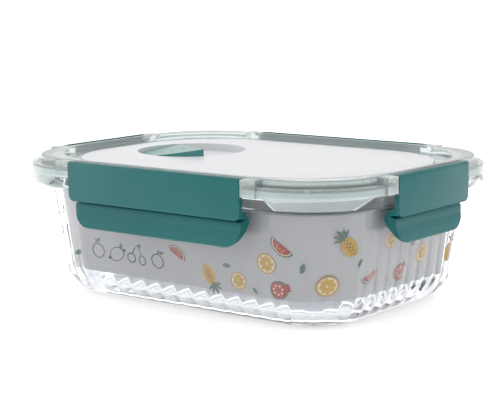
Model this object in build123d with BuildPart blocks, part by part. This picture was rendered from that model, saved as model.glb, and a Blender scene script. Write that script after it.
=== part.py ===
from build123d import *
import math
import os

# Rectangular glass food container with a four-latch lid. Millimetres, +Z up.
# The origin is the centre of the foot. The long side runs along X.

# ---- driving dimensions -------------------------------------------------------
overall_length = 205.0       # across the faces of the two short latches
overall_width = 150.4        # across the faces of the two long latches
lid_height = 68.7            # foot to the top of the rim and latches

# glass bowl
bowl_inset = 9.25            # latch face to the glass wall, just under the flange
bowl_corner = 35.7           # plan corner radius there
bowl_inset_drop = 13.0       # depth below the lid's top at which both are taken
wall_draft = 7.8             # degrees
wall = 3.8
floor = 5.0
foot_fillet = 16.4
flange_inset = 4.0           # latch face to the flange's edge
flange_corner = 36.5
flange_drop = 14.8           # underside of the flange below the lid's top
flange_round = 3.0           # lower edge, under which the latches hook
rim_drop = 7.3               # rim of the glass below the lid's top
rim_round = 1.4

# printed liner: a card belt inside the glass wall
liner_bottom = 14.0
liner_top_gap = 1.5          # to the underside of the flange
liner_thickness = 0.5
liner_gap = 0.3

# lid frame
skirt_inset = 1.5            # latch face to the lower tier
skirt_corner = 39.0
tier_inset = 5.8             # latch face to the upper tier
tier_corner = 35.0
tier_step = 3.5              # height of the upper tier
skirt_drop = 8.0             # skirt's edge below the lid's top, beside the latches
lug_drop = 12.5              # the same at the corners
lug_start_long = 63.0        # half length at which the long sides' lugs begin
lug_end_long = 70.0
lug_start_short = 44.0
lug_end_short = 55.0
skirt_gap = 0.4              # skirt to the glass flange
recess_inset = 2.4           # width of the rim's top
recess_corner = 54.0
recess_depth = 3.0
recess_draft = 14.0          # degrees
plate = 2.0                  # frame plate under the panel
panel_thickness = 1.6
panel_inset = 8.5            # rim recess to the panel's edge
panel_gap = 0.3
channel_roof = 5.0           # roof of the gasket channel below the lid's top
plug_depth = 10.5            # foot of the channel's inner wall below the lid's top
plug_wall = 1.8
plug_gap = 0.8
edge_round = 0.8

# white panel
panel_crown = 1.1
panel_edge = 2.6             # panel's edge below the lid's top
plateau_inset_x = 10.0       # panel's edge to the flat middle
plateau_inset_y = 17.0

# gasket
gasket_width = 7.0
gasket_side_gap = 0.5
gasket_squash_gap = 0.3      # to the rim of the glass

# latches
long_latch = 103.0
short_latch = 57.4
latch_thickness = 2.4
latch_drop = 18.4            # bottom of the flat face
latch_corner = 3.0
barrel_radius = 1.7
pin_radius = 1.0
pin_reach = 4.0              # stub pin past the end of the latch
pin_clearance = 0.05
latch_end_gap = 0.4
latch_back_gap = 0.3
barrel_seat_gap = 0.2
lip_end_inset = 1.7
lip_bottom = 31.0
lip_corner = 9.0
lip_join = 5.0               # height over which the lip runs into the flat face
lip_join_slope = 1.5
lip_undercut = 4.2           # front of the lip at its top, behind the latch's face
lip_front = 1.6              # front of the lip at its foot
lip_root = 9.0               # back of the lip at its top
lip_root_band = 1.6          # upright part of its back
lip_foot_width = 1.4
lip_foot_rise = 0.6
lip_cut_overlap = 4.0
bead_flat = 1.1
face_overlap = 0.4
bead_reach = 7.3             # tip of the snap bead behind the latch's face
bead_drop = 15.9
ear_length = 8.0
ear_inset = 0.2

# steam vent
vent_x = -40.0
cup_radius = 27.0
cup_wall = 1.4
cup_depth = 3.6
cup_floor = 1.2
cup_gap = 0.4                # cup to the hole in the frame
dial_gap = 0.4               # dial to the wall of the cup
dial_lift = 0.3              # dial above the floor of the cup
dial_turn = -36.5            # direction of the dial's straight side
dial_high = 3.4              # dial above the panel at the raised end
dial_dip = 0.125             # slope of its top away from the straight side
hub_radius = 5.5
hub_height = 1.4
shaft_radius = 3.0
shaft_clearance = 0.05
port_radius = 2.0
port_turn = 45.0             # ports, from the dial's straight side
shut_turn = 90.0             # turn from shut to open
port_offset = 9.0
seal_radius = 15.0
seal_thickness = 0.8
seal_gap = 0.4               # to the shaft
shutter_radius = 14.0
shutter_thickness = 1.2
shutter_gap = 0.3
drive_side = 4.2             # square end of the shaft
head_radius = 2.9
head_height = 1.2

overcut = 1.0                # how far a cut runs past what it cuts
lug_cut_extra = 4.0

# ---- derived places -------------------------------------------------------------
half_x = overall_length / 2
half_y = overall_width / 2
bowl_reference = lid_height - bowl_inset_drop
flange_bottom = lid_height - flange_drop
liner_top = flange_bottom - liner_top_gap
slope = math.tan(math.radians(wall_draft))
wall_plan = wall / math.cos(math.radians(wall_draft))   # wall measured level
glass_top = lid_height - rim_drop
ledge = lid_height - tier_step
trough = lid_height - recess_depth
panel_seat = lid_height - panel_edge - panel_thickness
plate_bottom = panel_seat - plate
roof = lid_height - channel_roof
panel_top = lid_height - panel_edge + panel_crown
panel_total_inset = tier_inset + recess_inset + panel_inset
panel_corner = recess_corner - panel_inset
cup_bed = panel_top - cup_depth
cup_bottom = cup_bed - cup_floor
axis_inset = barrel_radius                   # hinge axis behind the latch's face
axis_height = lid_height - barrel_radius


def outline(inset, corner, mode=Mode.ADD):
    """Rounded rectangle that lies a given distance inside the latch faces."""
    return RectangleRounded(overall_length - 2 * inset, overall_width - 2 * inset, corner, mode=mode)


def glass_inset(height, depth=0.0):
    """Distance from the latch face to the sloping wall, and any depth into it."""
    return bowl_inset + (bowl_reference - height) * slope + depth


def glass_corner(height, depth=0.0):
    """Plan corner radius of the same wall."""
    return bowl_corner - (bowl_reference - height) * slope - depth


os.makedirs("parts", exist_ok=True)

# ---- glass bowl -------------------------------------------------------------------
body_top = flange_bottom + flange_round
with BuildPart() as bowl_outside:
    for height in (0, body_top):
        with BuildSketch(Plane.XY.offset(height)):
            outline(glass_inset(height), glass_corner(height))
    loft(ruled=True)
    fillet(bowl_outside.faces().sort_by(Axis.Z)[0].edges(), foot_fillet)
    with BuildSketch(Plane.XY.offset(flange_bottom)):
        outline(flange_inset, flange_corner)
    extrude(amount=glass_top - flange_bottom)
    flange_foot = bowl_outside.faces().filter_by(Axis.Z).sort_by(Axis.Z)[1]
    fillet(flange_foot.outer_wire().edges(), flange_round)
    fillet(bowl_outside.faces().sort_by(Axis.Z)[-1].edges(), rim_round)

with BuildPart() as bowl_cavity:
    for height in (floor, glass_top + overcut):
        with BuildSketch(Plane.XY.offset(height)):
            outline(glass_inset(height, wall_plan), glass_corner(height, wall_plan))
    loft(ruled=True)
    fillet(bowl_cavity.faces().sort_by(Axis.Z)[0].edges(), foot_fillet - wall)

with BuildPart() as glass_bowl:
    add(bowl_outside.part)
    add(bowl_cavity.part, mode=Mode.SUBTRACT)
    mouth = glass_bowl.faces().filter_by(Axis.Z).sort_by(Axis.Z)[-1]
    fillet(mouth.inner_wires()[0].edges(), rim_round)
glass_bowl.part.label = "glass_bowl"
export_step(glass_bowl.part, "parts/glass_bowl.step")

# ---- printed liner ------------------------------------------------------------------
with BuildPart() as printed_liner:
    for depth, step in ((liner_gap, Mode.ADD), (liner_gap + liner_thickness, Mode.SUBTRACT)):
        for height in (liner_bottom, liner_top):
            with BuildSketch(Plane.XY.offset(height)):
                outline(glass_inset(height, wall_plan + depth), glass_corner(height, wall_plan + depth))
        loft(ruled=True, mode=step)
printed_liner.part.label = "printed_liner"
export_step(printed_liner.part, "parts/printed_liner.step")

# ---- sides: outward direction, reach, half length of the latch ------------------------
sides = {
    "front": (270, half_y, long_latch / 2),
    "right": (0, half_x, short_latch / 2),
    "back": (90, half_y, long_latch / 2),
    "left": (180, half_x, short_latch / 2),
}


def section(angle, reach):
    """Upright plane across a side: X outward from the latch face, Y up."""
    outward = Vector(math.cos(math.radians(angle)), math.sin(math.radians(angle)), 0)
    return Plane(origin=outward * reach, x_dir=outward, z_dir=outward.cross(Vector(0, 0, 1)))


def elevation(angle, reach):
    """Upright plane in a side's latch face: X along the side, Y up, Z outward."""
    outward = Vector(math.cos(math.radians(angle)), math.sin(math.radians(angle)), 0)
    return Plane(origin=outward * reach, x_dir=Vector(0, 0, 1).cross(outward), z_dir=outward)


# ---- lid frame ------------------------------------------------------------------------
plug_inset = glass_inset(lid_height - plug_depth, wall_plan) + plug_gap
plug_corner = glass_corner(lid_height - plug_depth, wall_plan) - plug_gap
skirt_inner = flange_inset - skirt_gap
skirt_inner_corner = skirt_corner - (skirt_inner - skirt_inset)
plug_foot = lid_height - plug_depth
lug_edge = lid_height - lug_drop
skirt_edge = lid_height - skirt_drop
web_face = latch_thickness + latch_back_gap      # skirt behind a latch, from its face
barrel_seat = axis_height - barrel_radius - latch_back_gap - barrel_seat_gap
barrel_back = 2 * barrel_radius + latch_back_gap
ear_top = lid_height - ear_inset
lug_cut_reach = tier_inset + recess_inset + lug_cut_extra

with BuildPart() as lid_frame:
    with BuildSketch(Plane.XY.offset(lug_edge)):
        outline(skirt_inset, skirt_corner)
    extrude(amount=ledge - lug_edge)
    fillet(lid_frame.faces().sort_by(Axis.Z)[-1].edges(), edge_round)
    with BuildSketch(Plane.XY.offset(ledge - edge_round)):
        outline(tier_inset, tier_corner)
    extrude(amount=tier_step + edge_round)
    fillet(lid_frame.faces().sort_by(Axis.Z)[-1].edges(), edge_round)
    # ears beside each latch, with bores for its stub pins
    for angle, reach, half in sides.values():
        with BuildSketch(elevation(angle, reach - ear_inset)):
            for hand in (-1, 1):
                with Locations((hand * (half + latch_end_gap + ear_length / 2), (skirt_edge + ear_top) / 2)):
                    Rectangle(ear_length, ear_top - skirt_edge)
        extrude(amount=-(tier_inset - ear_inset + overcut))
    # recess for the panel
    with BuildSketch(Plane.XY.offset(lid_height)):
        outline(tier_inset + recess_inset, recess_corner)
    extrude(amount=-recess_depth, taper=recess_draft, mode=Mode.SUBTRACT)
    with BuildSketch(Plane.XY.offset(trough)):
        outline(panel_total_inset - panel_gap, panel_corner + panel_gap)
    extrude(amount=panel_seat - trough, mode=Mode.SUBTRACT)
    # hollow underside: inside the plug wall, then the gasket channel
    with BuildSketch(Plane.XY.offset(lug_edge)):
        outline(plug_inset + plug_wall, plug_corner - plug_wall)
    extrude(amount=plate_bottom - lug_edge, mode=Mode.SUBTRACT)
    with BuildSketch(Plane.XY.offset(lug_edge)):
        outline(skirt_inner, skirt_inner_corner)
    extrude(amount=plug_foot - lug_edge, mode=Mode.SUBTRACT)
    with BuildSketch(Plane.XY.offset(plug_foot)):
        outline(skirt_inner, skirt_inner_corner)
        outline(plug_inset, plug_corner, Mode.SUBTRACT)
    extrude(amount=roof - plug_foot, mode=Mode.SUBTRACT)
    # skirt cut short beside the latches, with sloping ends to the corner lugs
    for angle, reach, half in sides.values():
        long_side = reach == half_y
        start = lug_start_long if long_side else lug_start_short
        end = lug_end_long if long_side else lug_end_short
        with BuildSketch(elevation(angle, reach)):
            with BuildLine():
                Polyline((-end, lug_edge - overcut), (-start, skirt_edge), (start, skirt_edge),
                         (end, lug_edge - overcut), close=True)
            make_face()
        extrude(amount=-lug_cut_reach, mode=Mode.SUBTRACT)
        # room for the latch: behind its face, and around its barrel
        with BuildSketch(section(angle, reach)):
            with Locations((0, (skirt_edge + axis_height) / 2)):
                Rectangle(2 * web_face, axis_height - skirt_edge + overcut)
            with Locations((0, (barrel_seat + lid_height + overcut) / 2)):
                Rectangle(2 * barrel_back, lid_height + overcut - barrel_seat)
        extrude(amount=half + latch_end_gap, both=True, mode=Mode.SUBTRACT)
        with BuildSketch(section(angle, reach)):
            with Locations((-axis_inset, axis_height)):
                Circle(pin_radius + pin_clearance)
        extrude(amount=half + pin_reach + latch_end_gap, both=True, mode=Mode.SUBTRACT)
    # hole for the vent cup
    with BuildSketch(Plane.XY.offset(plate_bottom)):
        with Locations((vent_x, 0)):
            Circle(cup_radius + cup_wall + cup_gap)
    extrude(amount=plate, mode=Mode.SUBTRACT)
lid_frame.part.label = "lid_frame"
export_step(lid_frame.part, "parts/lid_frame.step")

# ---- lid panel with the vent cup ----------------------------------------------------------
port_angle = math.radians(dial_turn + port_turn)
port_x = vent_x + port_offset * math.cos(port_angle)
port_y = port_offset * math.sin(port_angle)

with BuildPart() as lid_panel:
    with BuildSketch(Plane.XY.offset(panel_seat)):
        outline(panel_total_inset, panel_corner)
    extrude(amount=panel_thickness)
    with BuildSketch(Plane.XY.offset(lid_height - panel_edge)):
        outline(panel_total_inset, panel_corner)
    with BuildSketch(Plane.XY.offset(panel_top)):
        RectangleRounded(overall_length - 2 * (panel_total_inset + plateau_inset_x),
                         overall_width - 2 * (panel_total_inset + plateau_inset_y),
                         panel_corner - plateau_inset_x)
    loft(ruled=True)
    with BuildSketch(Plane.XY.offset(cup_bottom)):
        with Locations((vent_x, 0)):
            Circle(cup_radius + cup_wall)
    extrude(amount=panel_seat - cup_bottom)
    with BuildSketch(Plane.XY.offset(cup_bed)):
        with Locations((vent_x, 0)):
            Circle(cup_radius)
    extrude(amount=cup_depth + overcut, mode=Mode.SUBTRACT)
    with BuildSketch(Plane.XY.offset(cup_bottom)):
        with Locations((vent_x, 0)):
            Circle(shaft_radius + shaft_clearance)
        with Locations((port_x, port_y)):
            Circle(port_radius)
    extrude(amount=cup_floor, mode=Mode.SUBTRACT)
lid_panel.part.label = "lid_panel"
export_step(lid_panel.part, "parts/lid_panel.step")

# ---- gasket ---------------------------------------------------------------------------------
gasket_inset = skirt_inner + gasket_side_gap
gasket_corner = skirt_inner_corner - gasket_side_gap
with BuildPart() as lid_gasket:
    with BuildSketch(Plane.XY.offset(glass_top + gasket_squash_gap)):
        outline(gasket_inset, gasket_corner)
        outline(gasket_inset + gasket_width, gasket_corner - gasket_width, Mode.SUBTRACT)
    extrude(amount=roof - glass_top - gasket_squash_gap)
lid_gasket.part.label = "lid_gasket"
export_step(lid_gasket.part, "parts/lid_gasket.step")

# ---- latches: barrel, flat face, and a pull lip with the snap bead on its back ----------------
latch_foot = lid_height - latch_drop
lip_foot = lid_height - lip_bottom
bead_tip = lid_height - bead_drop
lip_cut_top = latch_foot + lip_cut_overlap
for name, (angle, reach, half) in sides.items():
    across = section(angle, reach)
    face = elevation(angle, reach)
    lip_half = half - lip_end_inset
    with BuildPart() as latch:
        with BuildSketch(across):
            with BuildLine():
                Polyline((-latch_thickness / 2, latch_foot + lip_join),
                         (-latch_thickness, latch_foot + lip_join - lip_join_slope),
                         (-bead_reach, bead_tip), (-bead_reach, bead_tip - bead_flat),
                         (-lip_root, latch_foot - lip_foot_rise),
                         (-lip_root, latch_foot - lip_foot_rise - lip_root_band),
                         (-lip_front - lip_foot_width, lip_foot + lip_foot_rise),
                         (-lip_front - lip_foot_width / 2, lip_foot),
                         (-lip_front, lip_foot + lip_foot_rise), (-lip_undercut, latch_foot),
                         (-latch_thickness / 2, latch_foot + face_overlap), close=True)
            make_face()
        extrude(amount=lip_half, both=True)
        with BuildSketch(face):
            with Locations((0, (lip_foot + lip_cut_top) / 2)):
                Rectangle(2 * half, lip_cut_top - lip_foot)
            with Locations((0, (lip_foot + lip_cut_top) / 2 + lip_corner)):
                RectangleRounded(2 * lip_half, lip_cut_top - lip_foot + 2 * lip_corner, lip_corner,
                                 mode=Mode.SUBTRACT)
        extrude(amount=-lip_root - overcut, mode=Mode.SUBTRACT)
        with BuildSketch(face):
            with Locations((0, (latch_foot + axis_height + latch_corner) / 2)):
                RectangleRounded(2 * half, axis_height + latch_corner - latch_foot, latch_corner)
            with Locations((0, axis_height + latch_corner / 2)):
                Rectangle(2 * half, latch_corner, mode=Mode.SUBTRACT)
        extrude(amount=-latch_thickness)
        with BuildSketch(across):
            with Locations((-axis_inset, axis_height)):
                Circle(barrel_radius)
        extrude(amount=half, both=True)
        with BuildSketch(across):
            with Locations((-axis_inset, axis_height)):
                Circle(pin_radius)
        extrude(amount=half + pin_reach, both=True)
    latch.part.label = name + "_latch"
    export_step(latch.part, "parts/" + name + "_latch.step")

# ---- steam vent: dial, seal and shutter --------------------------------------------------------
dial_radius = cup_radius - dial_gap
dial_foot = cup_bed + dial_lift
seal_bottom = cup_bottom - seal_thickness
shutter_top = seal_bottom - shutter_gap
shutter_bottom = shutter_top - shutter_thickness
turn = Vector(math.cos(math.radians(dial_turn)), math.sin(math.radians(dial_turn)), 0)
side = Vector(0, 0, 1).cross(turn)
slant = Vector(0, 0, 1) - turn * (dial_high / (2 * dial_radius)) - side * dial_dip


def vent_plane(height):
    """Level plane on the vent's axis, X along the dial's straight side."""
    return Plane(origin=(vent_x, 0, height), x_dir=turn, z_dir=(0, 0, 1))


with BuildPart() as vent_dial:
    with BuildSketch(vent_plane(dial_foot)):
        with BuildLine():
            CenterArc((0, 0), dial_radius, 180, 180)
            Line((dial_radius, 0), (-dial_radius, 0))
        make_face()
    extrude(amount=panel_top + dial_high + overcut - dial_foot)
    split(bisect_by=Plane(origin=(vent_x, 0, panel_top + dial_high / 2), z_dir=slant), keep=Keep.BOTTOM)
    with BuildSketch(vent_plane(dial_foot)):
        Circle(hub_radius)
    extrude(amount=hub_height)
    with BuildSketch(vent_plane(shutter_top)):
        Circle(shaft_radius)
    extrude(amount=dial_foot - shutter_top)
    with BuildSketch(vent_plane(shutter_bottom)):
        Rectangle(drive_side, drive_side)
    extrude(amount=shutter_thickness)
    with BuildSketch(vent_plane(shutter_bottom - head_height)):
        Circle(head_radius)
    extrude(amount=head_height)
vent_dial.part.label = "vent_dial"
export_step(vent_dial.part, "parts/vent_dial.step")

with BuildPart() as vent_seal:
    with BuildSketch(Plane.XY.offset(seal_bottom)):
        with Locations((vent_x, 0)):
            Circle(seal_radius)
            Circle(shaft_radius + seal_gap, mode=Mode.SUBTRACT)
        with Locations((port_x, port_y)):
            Circle(port_radius, mode=Mode.SUBTRACT)
    extrude(amount=seal_thickness)
vent_seal.part.label = "vent_seal"
export_step(vent_seal.part, "parts/vent_seal.step")

with BuildPart() as vent_shutter:
    with BuildSketch(vent_plane(shutter_bottom)):
        Circle(shutter_radius)
        Rectangle(drive_side + 2 * shaft_clearance, drive_side + 2 * shaft_clearance, mode=Mode.SUBTRACT)
        with PolarLocations(port_offset, 1, start_angle=port_turn + shut_turn):
            Circle(port_radius, mode=Mode.SUBTRACT)
    extrude(amount=shutter_thickness)
vent_shutter.part.label = "vent_shutter"
export_step(vent_shutter.part, "parts/vent_shutter.step")
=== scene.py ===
import bpy, bmesh, math
from mathutils import Matrix, Vector


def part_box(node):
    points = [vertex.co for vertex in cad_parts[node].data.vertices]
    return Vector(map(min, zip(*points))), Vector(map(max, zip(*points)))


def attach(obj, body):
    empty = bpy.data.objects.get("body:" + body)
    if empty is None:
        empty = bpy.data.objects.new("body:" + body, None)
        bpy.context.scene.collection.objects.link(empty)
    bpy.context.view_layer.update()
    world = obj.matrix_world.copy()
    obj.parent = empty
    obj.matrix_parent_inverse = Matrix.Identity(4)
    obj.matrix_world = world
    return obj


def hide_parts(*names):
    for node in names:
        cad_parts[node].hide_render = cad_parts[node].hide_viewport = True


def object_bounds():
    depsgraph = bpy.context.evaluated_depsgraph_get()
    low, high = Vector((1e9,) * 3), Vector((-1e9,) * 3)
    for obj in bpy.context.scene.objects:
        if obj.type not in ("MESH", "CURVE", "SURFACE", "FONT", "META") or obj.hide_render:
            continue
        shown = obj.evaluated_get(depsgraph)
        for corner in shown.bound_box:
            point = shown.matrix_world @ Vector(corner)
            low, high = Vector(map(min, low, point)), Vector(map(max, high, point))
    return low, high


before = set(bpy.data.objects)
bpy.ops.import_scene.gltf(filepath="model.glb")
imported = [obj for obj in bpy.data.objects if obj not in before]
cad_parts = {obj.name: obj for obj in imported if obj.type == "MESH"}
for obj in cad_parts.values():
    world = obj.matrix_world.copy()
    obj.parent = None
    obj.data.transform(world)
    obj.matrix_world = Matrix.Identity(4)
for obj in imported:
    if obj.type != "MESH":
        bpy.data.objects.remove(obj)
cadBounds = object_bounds()
mm = 0.001
scene = bpy.context.scene
print("frame loaded")


class Value:
    # wraps a socket, so that an expression on values adds its Math nodes
    def __init__(self, shader, socket):
        self.shader = shader
        self.socket = socket

    def math(self, operation, first, second):
        return self.shader.node("ShaderNodeMath", {"operation": operation}, {0: first, 1: second})

    def __add__(self, other):
        return self.math("ADD", self, other)

    def __radd__(self, other):
        return self.math("ADD", other, self)

    def __mul__(self, other):
        return self.math("MULTIPLY", self, other)

    def __rmul__(self, other):
        return self.math("MULTIPLY", other, self)


noiseSpread = (0.3, 0.7)       # most of a noise's values lie between these


class Shader:
    def __init__(self, name):
        self.material = bpy.data.materials.new(name)
        self.material.use_nodes = True
        self.tree = self.material.node_tree
        self.tree.nodes.clear()
        self.output = self.tree.nodes.new("ShaderNodeOutputMaterial")

    def node(self, kind, settings=None, inputs=None, take=0):
        made = self.tree.nodes.new(kind)
        for name, value in (settings or {}).items():
            if name == "stops":
                for element, (place, colour) in zip(made.color_ramp.elements, value):
                    element.position = place
                    element.color = (*colour, 1)
            else:
                setattr(made, name, value)
        for name, value in (inputs or {}).items():
            if isinstance(value, Value):
                self.tree.links.new(value.socket, made.inputs[name])
            else:
                made.inputs[name].default_value = value
        return Value(self, made.outputs[take])

    def noise(self, scale, detail=2.0):
        place = self.node("ShaderNodeTexCoord", take="Object")
        return self.node("ShaderNodeTexNoise", None, {"Vector": place, "Scale": scale, "Detail": detail})

    def bump(self, height, strength, distance):
        return self.node("ShaderNodeBump", None,
                         {"Height": height, "Strength": strength, "Distance": distance})

    def tint(self, amount, dark, light):
        stops = tuple(zip(noiseSpread, (dark, light)))
        return self.node("ShaderNodeValToRGB", {"stops": stops}, {"Fac": amount})

    def seeThrough(self, body, shade):
        # lamps shine straight through, so its shadow stays pale
        clear = self.node("ShaderNodeBsdfTransparent", None, {"Color": shade})
        lamps = self.node("ShaderNodeLightPath", take="Is Shadow Ray")
        return self.finish(self.node("ShaderNodeMixShader", None, {0: lamps, 1: body, 2: clear}))

    def finish(self, surface):
        self.tree.links.new(surface.socket, self.output.inputs["Surface"])
        return self.material


glassSet = {
    "tint": (0.93, 0.942, 0.972, 1),
    "shade": (0.97, 0.98, 0.98, 1),      # colour of the light that reaches the floor through it
    "roughness": 0.006,
    "index": 1.38,
    "rippleScale": 60,
    "rippleStrength": 0.04,
    "rippleDepth": 0.4 * mm,
}
frostedSet = {
    "dark": (0.71, 0.785, 0.778),
    "light": (0.76, 0.825, 0.818),
    "shade": (0.86, 0.91, 0.9, 1),
    "mottleScale": 25,
    "roughness": 0.15,
    "roughnessScale": 200,
    "roughnessRange": 0.06,
    "index": 1.49,
    "clearness": 0.74,
    "grainScale": 900,
    "grainStrength": 0.12,
    "grainDepth": 0.2 * mm,
}
plasticSet = {
    "mottleScale": 18,
    "roughnessScale": 90,
    "roughnessRange": 0.08,
    "index": 1.46,
    "coatRoughness": 0.12,
    "grainStrength": 0.15,
}


def makeGlass():
    s = glassSet
    shader = Shader("clearGlass")
    ripple = shader.noise(s["rippleScale"])
    body = shader.node("ShaderNodeBsdfPrincipled", None, {
        "Base Color": s["tint"], "Roughness": s["roughness"], "IOR": s["index"],
        "Transmission Weight": 1.0, "Normal": shader.bump(ripple, s["rippleStrength"], s["rippleDepth"])})
    return shader.seeThrough(body, s["shade"])


def makeFrosted():
    s = frostedSet
    shader = Shader("frostedPlastic")
    grain = shader.noise(s["grainScale"], 3)
    body = shader.node("ShaderNodeBsdfPrincipled", None, {
        "Base Color": shader.tint(shader.noise(s["mottleScale"]), s["dark"], s["light"]),
        "Roughness": shader.noise(s["roughnessScale"]) * s["roughnessRange"] + s["roughness"],
        "IOR": s["index"], "Transmission Weight": s["clearness"],
        "Normal": shader.bump(grain, s["grainStrength"], s["grainDepth"])})
    return shader.seeThrough(body, s["shade"])


def makePlastic(name, dark, light, roughness, grainScale=1400, grainDepth=0.12 * mm, coat=0.0, shine=0.5):
    # moulded plastic; the card has a coarser grain, and the inks are matt
    s = plasticSet
    shader = Shader(name)
    grain = shader.noise(grainScale, 3)
    return shader.finish(shader.node("ShaderNodeBsdfPrincipled", None, {
        "Base Color": shader.tint(shader.noise(s["mottleScale"], 3), dark, light),
        "Roughness": shader.noise(s["roughnessScale"]) * s["roughnessRange"] + roughness,
        "IOR": s["index"], "Coat Weight": coat, "Coat Roughness": s["coatRoughness"],
        "Specular IOR Level": shine, "Normal": shader.bump(grain, s["grainStrength"], grainDepth)}))


glass = makeGlass()
frosted = makeFrosted()
teal = makePlastic("tealPlastic", (0.003, 0.098, 0.100), (0.005, 0.110, 0.112), 0.3, shine=0.35)
tealDial = makePlastic("tealGloss", (0.030, 0.190, 0.180), (0.036, 0.205, 0.195), 0.3, coat=0.35)
tealDark = makePlastic("tealInk", (0.012, 0.075, 0.078), (0.016, 0.09, 0.092), 0.5)
white = makePlastic("whitePlastic", (0.635, 0.64, 0.66), (0.655, 0.66, 0.68), 0.3)
silicone = makePlastic("silicone", (0.42, 0.64, 0.62), (0.48, 0.69, 0.67), 0.5)
card = makePlastic("card", (0.49, 0.485, 0.475), (0.525, 0.52, 0.51), 0.75,
                   grainScale=600, grainDepth=0.15 * mm)
inks = {
    "orange": makePlastic("inkOrange", (0.52, 0.29, 0.06), (0.58, 0.34, 0.09), 0.7),
    "pale": makePlastic("inkPale", (0.72, 0.65, 0.48), (0.76, 0.69, 0.53), 0.7),
    "yellow": makePlastic("inkYellow", (0.60, 0.37, 0.08), (0.66, 0.42, 0.12), 0.7),
    "red": makePlastic("inkRed", (0.42, 0.09, 0.08), (0.48, 0.12, 0.10), 0.7),
    "green": makePlastic("inkGreen", (0.13, 0.19, 0.16), (0.17, 0.24, 0.20), 0.7),
    "brown": makePlastic("inkBrown", (0.20, 0.15, 0.07), (0.25, 0.19, 0.10), 0.7),
    "dark": makePlastic("inkDark", (0.05, 0.06, 0.06), (0.07, 0.08, 0.08), 0.7),
}
print("materials made")


def outlinePoint(turn, counts, size):
    # a point and its outward angle on a rounded rectangle, turn counted in steps from the right side
    halfX, halfY, corner = size
    coreX, coreY = halfX - corner, halfY - corner
    cores = ((coreX, -coreY), (coreX, coreY), (-coreX, coreY), (-coreX, -coreY))
    longSteps, shortSteps, cornerSteps = counts
    for side in range(4):
        steps = longSteps if side % 2 else shortSteps
        start, end = Vector(cores[side]), Vector(cores[(side + 1) % 4])
        if turn < steps:
            angle = math.radians(90 * side)
            core = start.lerp(end, turn / steps)
            return core + corner * Vector((math.cos(angle), math.sin(angle))), angle
        turn -= steps
        if turn < cornerSteps:
            angle = math.radians(90 * (side + turn / cornerSteps))
            return end + corner * Vector((math.cos(angle), math.sin(angle))), angle
        turn -= cornerSteps


def once(items):
    # each item once, in an order that is the same every run, which a set's is not
    return list(dict.fromkeys(items))


def loftRings(bm, total, rings):
    # starts from a circle, then extrudes it ring after ring; each ring is a function from turn to a place
    turnOf = bm.verts.layers.float.new("turn")
    verts = bmesh.ops.create_circle(bm, segments=total, radius=1)["verts"]
    for step, vert in enumerate(verts):
        vert[turnOf] = step
        vert.co = rings[0](step)
    edges = once(edge for vert in verts for edge in vert.link_edges)
    first = edges
    for ring in rings[1:]:
        made = bmesh.ops.extrude_edge_only(bm, edges=edges)["geom"]
        fresh = {item for item in made if isinstance(item, bmesh.types.BMVert)}
        for vert in fresh:
            vert.co = ring(round(vert[turnOf]))
        edges = [item for item in made if isinstance(item, bmesh.types.BMEdge) and set(item.verts) <= fresh]
    bmesh.ops.edgeloop_fill(bm, edges=first)
    bmesh.ops.edgeloop_fill(bm, edges=edges)


def makePiece(name, bm, material, body, nodes, smooth, turnOut=True):
    # smooth is the angle above which an edge stays sharp
    if turnOut:
        bmesh.ops.recalc_face_normals(bm, faces=bm.faces)
    mesh = bpy.data.meshes.new(name)
    bm.to_mesh(mesh)
    bm.free()
    piece = bpy.data.objects.new(name, mesh)
    scene.collection.objects.link(piece)
    mesh.materials.append(material)
    mesh.shade_smooth()
    mesh.set_sharp_from_angle(angle=math.radians(smooth))
    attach(piece, body)
    if nodes:
        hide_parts(*nodes)


cameraSet = {
    "place": (0.45013, -0.56104, 0.15861),
    "azimuth": 38.93,
    "elevation": 9.28,
    "roll": -0.77,
    "lens": 107.69,
    "sensor": 36.0,
    "nearest": 0.01,
}


def makeCamera():
    data = bpy.data.cameras.new("camera")
    data.lens = cameraSet["lens"]
    data.sensor_width = cameraSet["sensor"]
    data.clip_start = cameraSet["nearest"]
    camera = bpy.data.objects.new("camera", data)
    scene.collection.objects.link(camera)
    turned = (Matrix.Rotation(math.radians(cameraSet["azimuth"]), 4, "Z")
              @ Matrix.Rotation(math.radians(90 - cameraSet["elevation"]), 4, "X")
              @ Matrix.Rotation(math.radians(cameraSet["roll"]), 4, "Z"))
    camera.matrix_world = Matrix.Translation(cameraSet["place"]) @ turned
    scene.camera = camera


studioSet = {
    "lights": (
        {"name": "top", "place": (0.0, 0.1, 1.3), "size": (1.6, 1.6), "watts": 4},
        {"name": "left", "place": (-1.3, -0.7, 0.6), "size": (0.9, 1.1), "watts": 3.5},
        {"name": "right", "place": (1.2, 0.2, 0.5), "size": (0.8, 1.0), "watts": 0.5},
    ),
    "aim": (0, 0, 0.03),
    "whiteStrength": 1.0,
    "bounces": 32,             # light turns back many times inside the ribs
    "surfaceBounces": 24,
    "floorSize": 4,
    "floorDark": (0.9, 0.9, 0.9),
    "floorLight": (0.92, 0.92, 0.92),
    "floorMottle": 8,
    "floorRoughness": 0.6,
    "floorGlow": 0.5,
}


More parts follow.
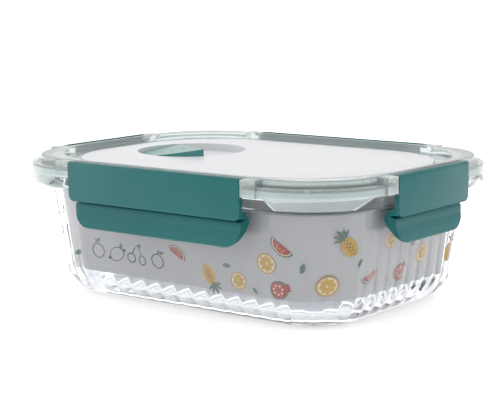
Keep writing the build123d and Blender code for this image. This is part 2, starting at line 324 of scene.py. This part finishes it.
def makeLights():
    s = studioSet
    for each in s["lights"]:
        data = bpy.data.lights.new(each["name"], "AREA")
        data.shape = "RECTANGLE"
        data.size, data.size_y = each["size"]
        data.energy = each["watts"]
        lamp = bpy.data.objects.new(each["name"], data)
        scene.collection.objects.link(lamp)
        lamp.location = each["place"]
        lamp.rotation_euler = (Vector(s["aim"]) - lamp.location).to_track_quat("-Z", "Y").to_euler()
    world = bpy.data.worlds.new("studio")
    world.use_nodes = True
    world.node_tree.nodes["Background"].inputs["Color"].default_value = (1, 1, 1, 1)
    world.node_tree.nodes["Background"].inputs["Strength"].default_value = s["whiteStrength"]
    scene.world = world
    scene.view_settings.view_transform = "Standard"
    scene.cycles.max_bounces = s["bounces"]
    scene.cycles.glossy_bounces = s["surfaceBounces"]
    scene.cycles.transmission_bounces = s["surfaceBounces"]


def makeFloor():
    s = studioSet
    bm = bmesh.new()
    bmesh.ops.create_grid(bm, x_segments=1, y_segments=1, size=s["floorSize"])
    shader = Shader("paleFloor")
    surface = shader.node("ShaderNodeBsdfPrincipled", None, {
        "Base Color": shader.tint(shader.noise(s["floorMottle"]), s["floorDark"], s["floorLight"]),
        "Roughness": s["floorRoughness"],
        "Emission Color": (1, 1, 1, 1), "Emission Strength": s["floorGlow"]})
    mesh = bpy.data.meshes.new("floor")
    bm.to_mesh(mesh)
    bm.free()
    mesh.materials.append(shader.finish(surface))
    floor = bpy.data.objects.new("floor", mesh)
    scene.collection.objects.link(floor)


makeCamera()
makeLights()
makeFloor()
print("camera, lights and floor made")


bowlSet = {
    "ribs": (12, 7, 6),        # along a long side, a short side and a corner
    "ribSteps": 10,
    "ribDepth": 0.6 * mm,
    "ribStart": 2.0 * mm,      # heights at which the ribs start, are full, fade and end
    "ribFull": 9.0 * mm,
    "ribFade": 34.0 * mm,
    "ribEnd": 53.0 * mm,
    "ribUpper": 0.65,          # share of the depth left at ribFade
    "wallInset": 9.25 * mm,    # latch faces to the wall, at wallHeight
    "wallHeight": 55.7 * mm,
    "wallCorner": 35.7 * mm,
    "draft": math.radians(7.8),
    "wall": 3.8 * mm,
    "floor": 5.0 * mm,
    "footFillet": 16.4 * mm,
    "footRecess": 0.7 * mm,
    "footRing": ((6.0, 1.0), (5.0, 0.8), (3.5, 0.0)),    # mm inside the fillet, share of the recess
    "floorInset": 4.0 * mm,    # flat floor's edge, inside the inner fillet
    "footSteps": 14,
    "innerSteps": 10,
    "wallSteps": 12,
    "innerWallSteps": 9,
    "flangeInset": 4.0 * mm,
    "flangeCorner": 36.5 * mm,
    "flangeBottom": 53.9 * mm,
    "flangeRound": 3.0 * mm,
    "flangeAngles": (-90, -72, -54, -36, -18, 0),
    "rimRound": 1.4 * mm,
    "rimAngles": (0, 22, 45, 67, 90),
}
faceX, faceY = cadBounds[1][:2]          # latch faces


def ribShare(height):
    # how deep the flutes are at a height, from 0 to 1
    s = bowlSet
    if height < s["ribStart"] or height > s["ribEnd"]:
        return 0.0
    if height < s["ribFull"]:
        return (height - s["ribStart"]) / (s["ribFull"] - s["ribStart"])
    if height < s["ribFade"]:
        return 1.0 - (1.0 - s["ribUpper"]) * (height - s["ribFull"]) / (s["ribFade"] - s["ribFull"])
    return s["ribUpper"] * (s["ribEnd"] - height) / (s["ribEnd"] - s["ribFade"])


def bowlRings():
    s = bowlSet
    counts = tuple(n * s["ribSteps"] for n in s["ribs"])
    slope = math.tan(s["draft"])
    wallLevel = s["wall"] / math.cos(s["draft"])

    def ring(inset, height, corner, depth=0.0):
        size = (faceX - inset, faceY - inset, corner)

        def place(turn):
            point, angle = outlinePoint(turn, counts, size)
            phase = (turn / s["ribSteps"]) % 1.0
            swell = depth * (1 - (2 * phase - 1) ** 2) - depth
            return Vector((point.x + swell * math.cos(angle), point.y + swell * math.sin(angle), height))
        return place

    def wallRing(height, deeper, ribbed):
        inset = s["wallInset"] + (s["wallHeight"] - height) * slope + deeper
        corner = s["wallCorner"] - (s["wallHeight"] - height) * slope - deeper
        return ring(inset, height, corner, s["ribDepth"] * ribShare(height) if ribbed else 0.0)

    def filletRings(base, radius, deeper, ribbed, steps):
        # rounding between the floor at a height and the sloping wall
        centre = base + radius
        inset = s["wallInset"] + (s["wallHeight"] - centre) * slope + deeper + radius / math.cos(s["draft"])
        corner = s["wallCorner"] - (inset - s["wallInset"])
        made = []
        for step in range(steps + 1):
            angle = -math.pi / 2 + (math.pi / 2 - s["draft"]) * step / steps
            out = radius * math.cos(angle)
            height = centre + radius * math.sin(angle)
            depth = s["ribDepth"] * ribShare(height) if ribbed else 0.0
            made.append(ring(inset - out, height, corner + out, depth))
        return made, inset, corner

    foot, footInset, footCorner = filletRings(0, s["footFillet"], 0, True, s["footSteps"])
    inner, innerInset, innerCorner = filletRings(
        s["floor"], s["footFillet"] - s["wall"], wallLevel, False, s["innerSteps"])
    rings = [ring(footInset + inward * mm, s["footRecess"] * share, footCorner - inward * mm)
             for inward, share in s["footRing"]]
    rings += foot
    wallFoot = s["footFillet"] * (1 - math.sin(s["draft"]))
    for step in range(1, s["wallSteps"] + 1):
        height = wallFoot + (s["flangeBottom"] - wallFoot) * step / s["wallSteps"]
        rings.append(wallRing(height, 0, True))
    flange = s["flangeInset"]
    for angle in s["flangeAngles"]:
        turned = math.radians(angle)
        inset = flange + s["flangeRound"] * (1 - math.cos(turned))
        height = s["flangeBottom"] + s["flangeRound"] * (1 + math.sin(turned))
        rings.append(ring(inset, height, s["flangeCorner"] - (inset - flange)))
    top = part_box("glass_bowl")[1][2]
    rim = s["rimRound"]
    for angle in s["rimAngles"]:
        turned = math.radians(angle)
        inset = flange + rim * (1 - math.cos(turned))
        rings.append(ring(inset, top - rim * (1 - math.sin(turned)), s["flangeCorner"] - (inset - flange)))
    innerTop = s["wallInset"] + (s["wallHeight"] - top) * slope + wallLevel
    cornerTop = s["wallCorner"] - (innerTop - s["wallInset"])
    for angle in reversed(s["rimAngles"]):
        turned = math.radians(angle)
        inset = innerTop - rim * (1 - math.cos(turned))
        rings.append(ring(inset, top - rim * (1 - math.sin(turned)), cornerTop + (innerTop - inset)))
    for step in range(1, s["innerWallSteps"]):
        drop = (s["floor"] + s["footFillet"] - s["wall"] - top + rim) * step / s["innerWallSteps"]
        height = top - rim + drop
        rings.append(wallRing(height, wallLevel, False))
    rings += reversed(inner)
    rings.append(ring(innerInset + s["floorInset"], s["floor"], innerCorner - s["floorInset"]))
    return sum(counts[:2]) * 2 + counts[2] * 4, rings


def makeBowl():
    bm = bmesh.new()
    total, rings = bowlRings()
    loftRings(bm, total, rings)
    makePiece("glassBowl", bm, glass, "bowl", ["glass_bowl"], 60)


makeBowl()
print("bowl made")

# latches: flat face with a rolled top, and a pull lip under it
latchSet = {
    "top": 68.7 * mm,
    "foot": 50.3 * mm,
    "thickness": 2.4 * mm,
    "corner": 3.0 * mm,
    "cornerSteps": 6,
    "topRound": 1.7 * mm,
    "topSteps": 8,
    "edgeRound": 0.6 * mm,
    "edgeSteps": 3,
    "edgeAngle": math.radians(50),       # edges sharper than this are rounded
    "edgeReach": 0.8,          # share of the thickness in which they are
    "barrel": 1.6 * mm,
    "barrelInset": 0.1 * mm,
    "barSteps": 24,
    "pin": 1.0 * mm,
    "pinReach": 4.0 * mm,
    "lipInset": 1.7 * mm,      # lip's ends inside the face's ends
    "lipCorner": 9.0 * mm,
    "lipSteps": 12,
    "lipBlank": 1.0 * mm,      # the lip's thickness before its heights shape it
    # in mm: height, then how far the lip's front and back lie behind the face
    "lip": ((37.7, 2.0, 2.7), (38.3, 1.6, 3.0), (42.0, 2.1, 5.1), (45.5, 2.9, 7.3),
            (48.1, 2.9, 9.0), (49.2, 3.4, 9.0), (49.7, 5.6, 9.0), (50.3, 6.2, 8.5),
            (50.7, 1.2, 8.1), (51.7, 1.2, 7.3), (52.8, 1.2, 7.3), (53.8, 1.2, 2.2)),
    "sliver": 0.001 * mm,      # shorter edges, left by the union, are dissolved
}
# turn about the bowl, distance of the face, half length
latchSides = {"front_latch": (0, faceY, 51.5 * mm), "right_latch": (90, faceX, 28.7 * mm),
              "back_latch": (180, faceY, 51.5 * mm), "left_latch": (270, faceX, 28.7 * mm)}


def addBox(bm, low, high):
    low, high = Vector(low), Vector(high)
    fit = Matrix.Translation((low + high) / 2) @ Matrix.Diagonal((*(high - low), 1))
    return bmesh.ops.create_cube(bm, size=1, matrix=fit)["verts"]


def bevelEdges(bm, edges, width, segments):
    bmesh.ops.bevel(bm, geom=list(edges), offset=width, affect="EDGES", segments=segments, profile=0.5,
                    material=-1, clamp_overlap=True)


def addBar(bm, radius, half, depth, height):
    # a round bar along X
    fit = Matrix.Translation((0, depth, height)) @ Matrix.Rotation(math.radians(90), 4, "Y")
    bmesh.ops.create_cone(bm, cap_ends=True, segments=latchSet["barSteps"], radius1=radius,
                          radius2=radius, depth=2 * half, matrix=fit)


def unite(parts):
    # one closed shell from several
    solids = []
    for bm in parts:
        bmesh.ops.recalc_face_normals(bm, faces=bm.faces)
        mesh = bpy.data.meshes.new("part")
        bm.to_mesh(mesh)
        bm.free()
        solids.append(bpy.data.objects.new("part", mesh))
        scene.collection.objects.link(solids[-1])
    for other in solids[1:]:
        join = solids[0].modifiers.new("join", "BOOLEAN")
        join.operation = "UNION"
        join.solver = "EXACT"
        join.object = other
    joined = bpy.data.meshes.new_from_object(solids[0].evaluated_get(bpy.context.evaluated_depsgraph_get()))
    whole = bmesh.new()
    whole.from_mesh(joined)
    bmesh.ops.dissolve_degenerate(whole, dist=latchSet["sliver"], edges=whole.edges)
    bpy.data.meshes.remove(joined)
    for each in solids:
        mesh = each.data
        bpy.data.objects.remove(each)
        bpy.data.meshes.remove(mesh)
    return whole


def alongHeights(height, column):
    # how far behind the face the lip's front (column 1) or back (column 2) lies at a height
    rows = latchSet["lip"]
    for low, high in zip(rows, rows[1:]):
        if height <= high[0] * mm:
            share = max(0.0, (height / mm - low[0]) / (high[0] - low[0]))
            return (low[column] + (high[column] - low[column]) * share) * mm
    return rows[-1][column] * mm


def latchFace(half):
    s = latchSet
    bm = bmesh.new()
    addBox(bm, (-half, 0, s["foot"]), (half, s["thickness"], s["top"]))
    middle = (s["foot"] + s["top"]) / 2
    bevelEdges(bm, [e for e in bm.edges if all(v.co.z < middle for v in e.verts)
                    and e.verts[0].co.y != e.verts[1].co.y], s["corner"], s["cornerSteps"])
    bevelEdges(bm, [e for e in bm.edges if all(v.co.z > middle and v.co.y < s["thickness"] / 2
                                               for v in e.verts)], s["topRound"], s["topSteps"])
    front = s["edgeReach"] * s["thickness"]
    bevelEdges(bm, [e for e in bm.edges if e.calc_face_angle(0) > s["edgeAngle"]
                    and all(v.co.y < front for v in e.verts)], s["edgeRound"], s["edgeSteps"])
    return bm


def latchLip(half):
    s = latchSet
    reach = half - s["lipInset"]
    foot, head = s["lip"][0][0] * mm, s["lip"][-1][0] * mm
    bm = bmesh.new()
    addBox(bm, (-reach, 0, foot), (reach, s["lipBlank"], head))
    middle = (foot + head) / 2
    bevelEdges(bm, [e for e in bm.edges if all(v.co.z < middle for v in e.verts)
                    and e.verts[0].co.y != e.verts[1].co.y], s["lipCorner"], s["lipSteps"])
    for row in s["lip"][1:-1]:
        bmesh.ops.bisect_plane(bm, geom=bm.verts[:] + bm.edges[:] + bm.faces[:],
                               plane_co=(0, 0, row[0] * mm), plane_no=(0, 0, 1))
    for vert in bm.verts:
        vert.co.y = alongHeights(vert.co.z, 1 if vert.co.y < s["lipBlank"] / 2 else 2)
    return bm


def makeLatch(name, angle, reach, half):
    s = latchSet
    barrel, pins = bmesh.new(), bmesh.new()
    hinge = (s["topRound"], s["top"] - s["topRound"])
    addBar(barrel, s["barrel"], half - s["barrelInset"], *hinge)
    addBar(pins, s["pin"], half + s["pinReach"], *hinge)
    bm = unite([latchFace(half), latchLip(half), barrel, pins])
    turned = Matrix.Rotation(math.radians(angle), 4, "Z") @ Matrix.Translation((0, -reach, 0))
    bmesh.ops.transform(bm, matrix=turned, verts=bm.verts)
    makePiece(name.replace("_latch", "Latch"), bm, teal, name, [name], 35)


for name, (angle, reach, half) in latchSides.items():
    makeLatch(name, angle, reach, half)
print("latches made")

# fruit print on the liner: flat closed shapes, wrapped round its outer face
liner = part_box("printed_liner")
printSet = {
    "corner": 29.0 * mm,       # liner's corner at its top
    "layer": 0.035 * mm,       # thickness of one ink on another
    "strip": 2.0 * mm,         # width that stays flat round a corner
    "outline": 0.55 * mm,      # width of a drawn line
    "halfSteps": 24,
    "leafSteps": 14,
    "ringSteps": 32,
    "weld": 0.001,             # of a shape's radius
}


def beltPlace(side, along, height, out):
    # a place on the liner: along one side from its middle, at a height, out from its face
    halfX, halfY = liner[1][0], liner[1][1]
    sink = (liner[1][2] - height) * math.tan(bowlSet["draft"])
    corner = printSet["corner"] - sink
    half = (halfY if side % 2 else halfX) - sink
    reach = (halfX if side % 2 else halfY) - sink
    straight = half - corner
    over = abs(along) - straight
    if over <= 0:
        point = Vector((along, -reach - out, height))
    else:
        bend = min(over / corner, math.pi / 2)
        across = straight + (corner + out) * math.sin(bend)
        inward = corner - (corner + out) * math.cos(bend)
        point = Vector((math.copysign(across, along), -reach + inward, height))
    point.rotate(Matrix.Rotation(math.radians(90 * side), 3, "Z"))
    return point


class Print:
    # one ink's flat shapes: x along the side, y up, z out from the liner
    def __init__(self):
        self.bm = bmesh.new()

    def circle(self, segments):
        return bmesh.ops.create_circle(self.bm, cap_ends=True, segments=segments, radius=1)["verts"]

    def lay(self, verts, size, turn, place, level, squash):
        fit = (Matrix.Translation((*place, 0)) @ Matrix.Rotation(math.radians(turn), 4, "Z")
               @ Matrix.Diagonal((size, size * squash, 1, 1)))
        bmesh.ops.transform(self.bm, matrix=fit, verts=verts)
        faces = once(face for vert in verts for face in vert.link_faces)
        made = bmesh.ops.extrude_face_region(self.bm, geom=faces)["geom"]
        raised = [item for item in made if isinstance(item, bmesh.types.BMVert)]
        bmesh.ops.translate(self.bm, vec=(0, 0, level * printSet["layer"]), verts=raised)
        # an ink is too thin for a recalculation, so its top is turned up while it is flat
        top = next(item for item in made if isinstance(item, bmesh.types.BMFace))
        top.normal_update()
        if top.normal.z < 0:
            shell = once(face for vert in raised + verts for face in vert.link_faces)
            bmesh.ops.reverse_faces(self.bm, faces=shell)

    def disc(self, size, turn, place, level, squash, segments):
        self.lay(self.circle(segments), size, turn, place, level, squash)

    def half(self, size, turn, place, level, squash):
        made = self.circle(printSet["halfSteps"])
        for vert in made:
            vert.co.y = min(vert.co.y, 0.0)
        bmesh.ops.remove_doubles(self.bm, verts=made, dist=printSet["weld"])
        self.lay([v for v in made if v.is_valid], size, turn, place, level, squash)

    def leaf(self, size, turn, place, level, squash):
        made = self.circle(printSet["leafSteps"])
        for vert in made:
            vert.co.y *= 1 - abs(vert.co.x) ** 3
        self.lay(made, size, turn, place, level, squash)

    def ring(self, size, turn, place, level, squash):
        face = self.circle(printSet["ringSteps"])[0].link_faces[0]
        rim = bmesh.ops.inset_individual(self.bm, faces=[face], thickness=printSet["outline"] / size,
                                         use_even_offset=True)["faces"]
        bmesh.ops.delete(self.bm, geom=[face], context="FACES_ONLY")
        self.lay(once(v for each in rim for v in each.verts), size, turn, place, level, squash)


def away(place, distance, turn):
    # the point at a distance from a place, in the direction of turn
    angle = math.radians(turn)
    return (place[0] + distance * math.cos(angle), place[1] + distance * math.sin(angle))


def drawOrange(prints, place, size, turn):
    # peel, pith and eight segments
    prints["orange"].disc(size, turn, place, level=1, squash=0.92, segments=28)
    prints["pale"].disc(size * 0.87, turn, place, level=2, squash=0.92, segments=28)
    for part in range(8):
        angle = turn + 45 * part
        prints["yellow"].leaf(size * 0.36, angle, away(place, size * 0.44, angle), level=3, squash=0.62)


def drawMelon(prints, place, size, turn):
    # rind, its pale edge, flesh and five seeds
    prints["green"].half(size, turn, place, level=1, squash=0.8)
    prints["pale"].half(size * 0.88, turn, place, level=2, squash=0.8)
    prints["red"].half(size * 0.8, turn, place, level=3, squash=0.78)
    for part in range(5):
        angle = turn - 90 + 28 * (part - 2)
        seed = away(place, size * (0.36 + 0.12 * (part % 2)), angle)
        prints["pale"].leaf(size * 0.07, angle, seed, level=4, squash=0.6)


def drawPineapple(prints, place, size, turn):
    # body, two sets of crossing lines and a crown of five blades
    prints["yellow"].disc(size, turn, place, level=1, squash=0.68, segments=24)
    for hand in (-1, 1):
        for line in range(-2, 3):
            angle = turn + 90 + hand * 42
            reach = size * (0.66 - 0.12 * abs(line))
            prints["brown"].leaf(reach, angle, away(place, size * 0.4 * line, turn), level=2, squash=0.055)
    for blade in range(-2, 3):
        angle = turn + 30 * blade
        reach = size * (0.62 - 0.07 * abs(blade))
        root = away(place, size * 0.85, turn)
        prints["green"].leaf(reach, angle, away(root, reach, angle), level=3, squash=0.2)


def drawPomegranate(prints, place, size, turn):
    # skin, flesh, seven seeds and a crown of three points
    prints["green"].disc(size, turn, place, level=1, squash=0.9, segments=24)
    prints["red"].disc(size * 0.86, turn, place, level=2, squash=0.9, segments=24)
    for part in range(7):
        seed = away(place, size * 0.45, turn + 51 * part)
        prints["pale"].disc(size * 0.11, 0, seed, level=3, squash=1.0, segments=8)
    for blade in (-24, 0, 24):
        tip = away(place, size * 1.1, turn + blade / 2)
        prints["red"].leaf(size * 0.3, turn + blade, tip, level=2, squash=0.5)


def drawLeaf(prints, place, size, turn):
    prints["green"].leaf(size, turn, place, level=1, squash=0.45)


def drawApple(prints, place, size, turn):
    # outline only, with a stem and a leaf
    prints["dark"].ring(size, turn, place, level=1, squash=0.9)
    prints["dark"].leaf(size * 0.34, turn + 84, away(place, size * 1.15, turn + 88), level=1, squash=0.3)
    prints["green"].leaf(size * 0.42, turn + 22, away(place, size * 1.3, turn + 68), level=1, squash=0.5)


def drawLemon(prints, place, size, turn):
    # outline only, with its two tips and a leaf
    prints["dark"].ring(size, turn, place, level=1, squash=0.66)
    for end in (0, 180):
        tip = away(place, size * 1.08, turn + end)
        prints["dark"].leaf(size * 0.24, turn + end, tip, level=1, squash=0.7)
    prints["green"].leaf(size * 0.36, turn + 60, away(place, size * 1.05, turn + 28), level=1, squash=0.5)


def drawCherries(prints, place, size, turn):
    # two outlines whose stems meet, with one leaf
    for hand in (-1, 1):
        fruit = away(place, hand * size * 0.72, turn)
        stem = away(place, size * 0.98, turn + 90 - hand * 24)
        prints["dark"].ring(size * 0.55, turn, fruit, level=1, squash=1.0)
        prints["dark"].leaf(size * 0.62, turn + 90 + hand * 32, stem, level=1, squash=0.1)
    prints["green"].leaf(size * 0.42, turn + 10, away(place, size * 1.5, turn + 78), level=1, squash=0.5)


# what is printed, with its place along the side, height and size in mm, and turn
fruitFront = (
    (drawMelon, 1, 28, 5.5, 150), (drawPineapple, 20, 21, 5.0, -62), (drawLeaf, 31, 26.5, 2.4, 0),
    (drawOrange, 37, 20, 4.6, 20), (drawOrange, 54, 30, 5.2, 0), (drawMelon, 63, 39, 6.0, -38),
    (drawLeaf, 71, 29, 2.6, 70), (drawPomegranate, 59, 18.5, 4.6, 15), (drawLeaf, 46, 16.5, 2.2, -40),
    (drawApple, -49, 24.5, 4.2, 10), (drawLemon, -37, 24, 5.0, 24), (drawCherries, -24, 23, 4.6, -6),
    (drawApple, -11, 23.5, 4.0, -14), (drawLeaf, -63, 22, 2.6, 30),
)
fruitSide = (
    (drawPineapple, -42, 38, 5.2, 132), (drawOrange, -50, 21, 5.0, 10), (drawOrange, -14, 38, 4.8, 0),
    (drawMelon, -28, 24, 5.4, 20), (drawLeaf, -35, 30, 2.4, 60), (drawPomegranate, -4, 21, 4.4, 40),
    (drawOrange, 14, 27, 4.9, 30), (drawOrange, 25, 37, 4.6, 0), (drawPineapple, 38, 24, 5.0, 70),
    (drawLeaf, 47, 38, 2.5, -30), (drawLeaf, 5, 33, 2.4, 20),
)


def makePrint():
    for side, fruits in enumerate((fruitFront, fruitSide, fruitFront, fruitSide)):
        prints = {ink: Print() for ink in inks}
        for draw, along, height, size, turn in fruits:
            draw(prints, (along * mm, height * mm), size * mm, turn)
        for ink, each in prints.items():
            bm = each.bm
            if not bm.verts:
                bm.free()
                continue
            low, high = min(v.co.x for v in bm.verts), max(v.co.x for v in bm.verts)
            for cut in range(1, int((high - low) / printSet["strip"]) + 1):
                bmesh.ops.bisect_plane(bm, geom=bm.verts[:] + bm.edges[:] + bm.faces[:],
                                       plane_co=(low + cut * printSet["strip"], 0, 0), plane_no=(1, 0, 0))
            for vert in bm.verts:
                vert.co = beltPlace(side, vert.co.x, vert.co.y, vert.co.z + printSet["layer"])
            makePiece(f"print.{ink}.{side}", bm, inks[ink], "bowl", (), 30, turnOut=False)


makePrint()
print("print made")

# three plain dots on the vent dial
dialSet = {
    "turn": math.radians(-36.5),
    "middle": Vector((-40, 0, 68.9)) * mm,
    "rise": 0.0639,            # slope of its top along the straight side
    "dip": 0.125,              # slope across it
    "dots": ((2.0, -16.0), (2.0, -10.5), (2.0, -5.0)),   # mm along and across it
    "dotRadius": 0.95 * mm,
    "dotTop": 0.8,             # share of the radius left at its top
    "dotSteps": 24,
    "dotHeight": 0.16 * mm,
}


def makeDots():
    s = dialSet
    along = Vector((math.cos(s["turn"]), math.sin(s["turn"]), 0))
    across = Vector((0, 0, 1)).cross(along)
    normal = (Vector((0, 0, 1)) - along * s["rise"] - across * s["dip"]).normalized()
    lean = Vector((0, 0, 1)).rotation_difference(normal).to_matrix().to_4x4()
    bm = bmesh.new()
    for a, b in s["dots"]:
        place = s["middle"] + (along * a + across * b + Vector((0, 0, a * s["rise"] + b * s["dip"]))) * mm
        made = bmesh.ops.create_cone(bm, cap_ends=True, segments=s["dotSteps"], radius1=s["dotRadius"],
                                     radius2=s["dotTop"] * s["dotRadius"], depth=s["dotHeight"])["verts"]
        bmesh.ops.transform(bm, matrix=Matrix.Translation(place) @ lean, verts=made)
    makePiece("dialDots", bm, tealDark, "vent", (), 30)


makeDots()
print("dial marked")

# CAD nodes that stay, each with its finish
cadFinish = {"lid_frame": frosted, "lid_panel": white, "lid_gasket": silicone, "vent_seal": silicone,
             "vent_shutter": white, "vent_dial": tealDial, "printed_liner": card}
for name, material in cadFinish.items():
    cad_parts[name].data.materials.clear()
    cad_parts[name].data.materials.append(material)
print("CAD pieces finished")
